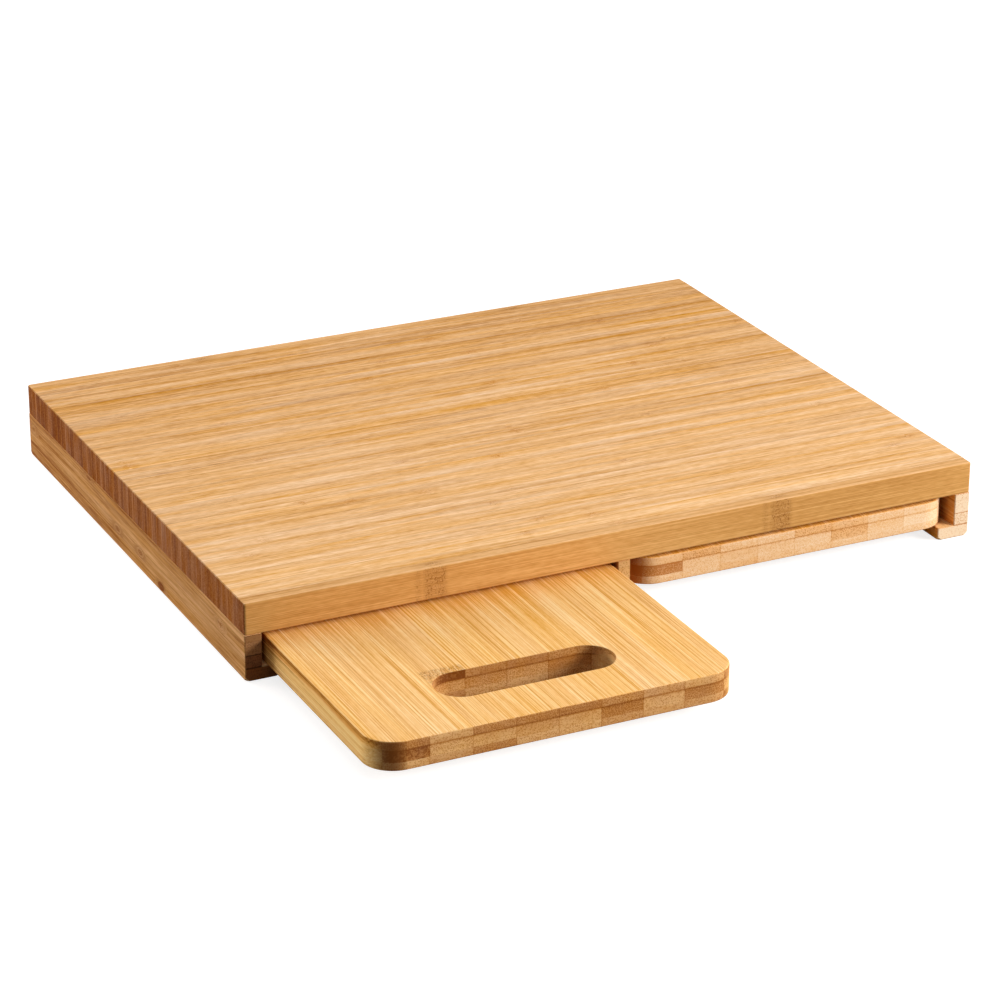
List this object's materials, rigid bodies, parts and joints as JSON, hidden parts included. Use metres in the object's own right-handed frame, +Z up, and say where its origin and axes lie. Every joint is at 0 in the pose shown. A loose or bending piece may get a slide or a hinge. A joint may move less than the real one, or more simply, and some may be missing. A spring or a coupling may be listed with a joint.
{
  "type": "cutting board with sliding small boards",
  "caption": "Rectangular bamboo cutting board on three grooved rails, with two small boards with finger slots that slide out at the front.",
  "frame": {"origin": "on the table, under the middle of the big board's footprint, on the centre rail's underside", "axes": "+X to the right along the front edge, +Y to the back, +Z up; the small boards slide out along -Y"},
  "size_m": [0.4, 0.4375, 0.0405],
  "materials": {
    "big_board_bamboo": "satin oiled bamboo, narrow upright strips along X",
    "rail_bamboo": "satin bamboo, flat layers along Y",
    "stop_bamboo": "satin bamboo, along X",
    "small_board_bamboo": "satin oiled bamboo, three flat plies along Y"
  },
  "bodies": {
    "big_board": {"front_edge_strip": "big_board_bamboo", "field_strips": "big_board_bamboo", "back_edge_strip": "big_board_bamboo", "left_rail_lip": "rail_bamboo", "left_rail_web_layer_1": "rail_bamboo", "left_rail_web_layer_2": "rail_bamboo", "left_rail_web_layer_3": "rail_bamboo", "centre_rail_lip": "rail_bamboo", "centre_rail_web_layer_1": "rail_bamboo", "centre_rail_web_layer_2": "rail_bamboo", "centre_rail_web_layer_3": "rail_bamboo", "right_rail_lip": "rail_bamboo", "right_rail_web_layer_1": "rail_bamboo", "right_rail_web_layer_2": "rail_bamboo", "right_rail_web_layer_3": "rail_bamboo", "left_rear_stop": "stop_bamboo", "right_rear_stop": "stop_bamboo"},
    "left_small_board": {"left_board_bottom_ply": "small_board_bamboo", "left_board_core_ply": "small_board_bamboo", "left_board_top_ply": "small_board_bamboo"},
    "right_small_board": {"right_board_bottom_ply": "small_board_bamboo", "right_board_core_ply": "small_board_bamboo", "right_board_top_ply": "small_board_bamboo"}
  },
  "joints": [
    {"name": "left_small_board_slide", "type": "slide", "parent": "big_board", "child": "left_small_board", "axis": [0, -1, 0], "range_m": [-0.1268, 0.1767]},
    {"name": "right_small_board_slide", "type": "slide", "parent": "big_board", "child": "right_small_board", "axis": [0, -1, 0], "range_m": [0, 0.3035]}
  ]
}
